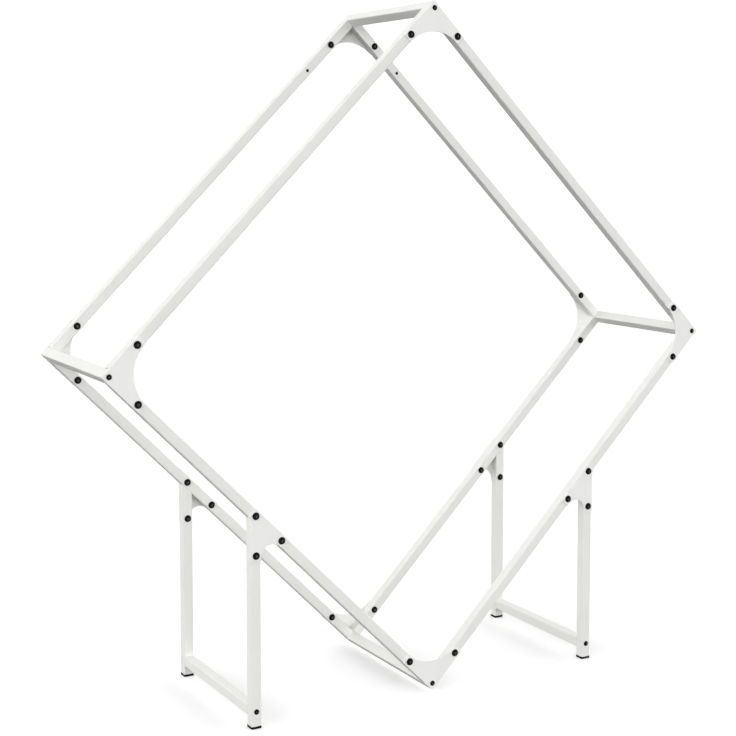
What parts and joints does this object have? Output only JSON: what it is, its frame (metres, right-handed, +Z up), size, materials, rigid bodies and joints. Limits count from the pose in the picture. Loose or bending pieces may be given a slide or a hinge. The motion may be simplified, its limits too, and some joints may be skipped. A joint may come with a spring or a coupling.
{
  "type": "firewood rack",
  "caption": "Free-standing firewood rack of white square tube: front and rear square frames stand on a corner, joined by crossbars and bolted plates, on short legs with foot caps.",
  "frame": {"origin": "on the floor, under the middle of the rack", "axes": "+X to the right seen from the front, +Y from front to back, +Z up"},
  "size_m": [0.9986, 0.2596, 1.0017],
  "materials": {
    "white_powder_coat": "satin",
    "black_steel": "satin",
    "foot_plastic": "matte",
    "plug_plastic": "matte"
  },
  "bodies": {
    "root": {"corner_bolts": "black_steel", "corner_nuts": "black_steel", "corner_plate_front_bottom": "white_powder_coat", "corner_plate_front_left": "white_powder_coat", "corner_plate_front_right": "white_powder_coat", "corner_plate_front_top": "white_powder_coat", "corner_plate_rear_bottom": "white_powder_coat", "corner_plate_rear_left": "white_powder_coat", "corner_plate_rear_right": "white_powder_coat", "corner_plate_rear_top": "white_powder_coat", "crossbar_bolts": "black_steel", "crossbar_bottom": "white_powder_coat", "crossbar_left": "white_powder_coat", "crossbar_plugs": "plug_plastic", "crossbar_right": "white_powder_coat", "crossbar_top": "white_powder_coat", "foot_front_left": "foot_plastic", "foot_front_right": "foot_plastic", "foot_rear_left": "foot_plastic", "foot_rear_right": "foot_plastic", "leg_bolts": "black_steel", "leg_front_left": "white_powder_coat", "leg_front_right": "white_powder_coat", "leg_nuts": "black_steel", "leg_plate_front_left": "white_powder_coat", "leg_plate_front_right": "white_powder_coat", "leg_plate_rear_left": "white_powder_coat", "leg_plate_rear_right": "white_powder_coat", "leg_rear_left": "white_powder_coat", "leg_rear_right": "white_powder_coat", "rail_front_lower_left": "white_powder_coat", "rail_front_lower_right": "white_powder_coat", "rail_front_upper_left": "white_powder_coat", "rail_front_upper_right": "white_powder_coat", "rail_rear_lower_left": "white_powder_coat", "rail_rear_lower_right": "white_powder_coat", "rail_rear_upper_left": "white_powder_coat", "rail_rear_upper_right": "white_powder_coat", "stretcher_bolts": "black_steel", "stretcher_left": "white_powder_coat", "stretcher_plugs": "plug_plastic", "stretcher_right": "white_powder_coat"}
  },
  "joints": []
}
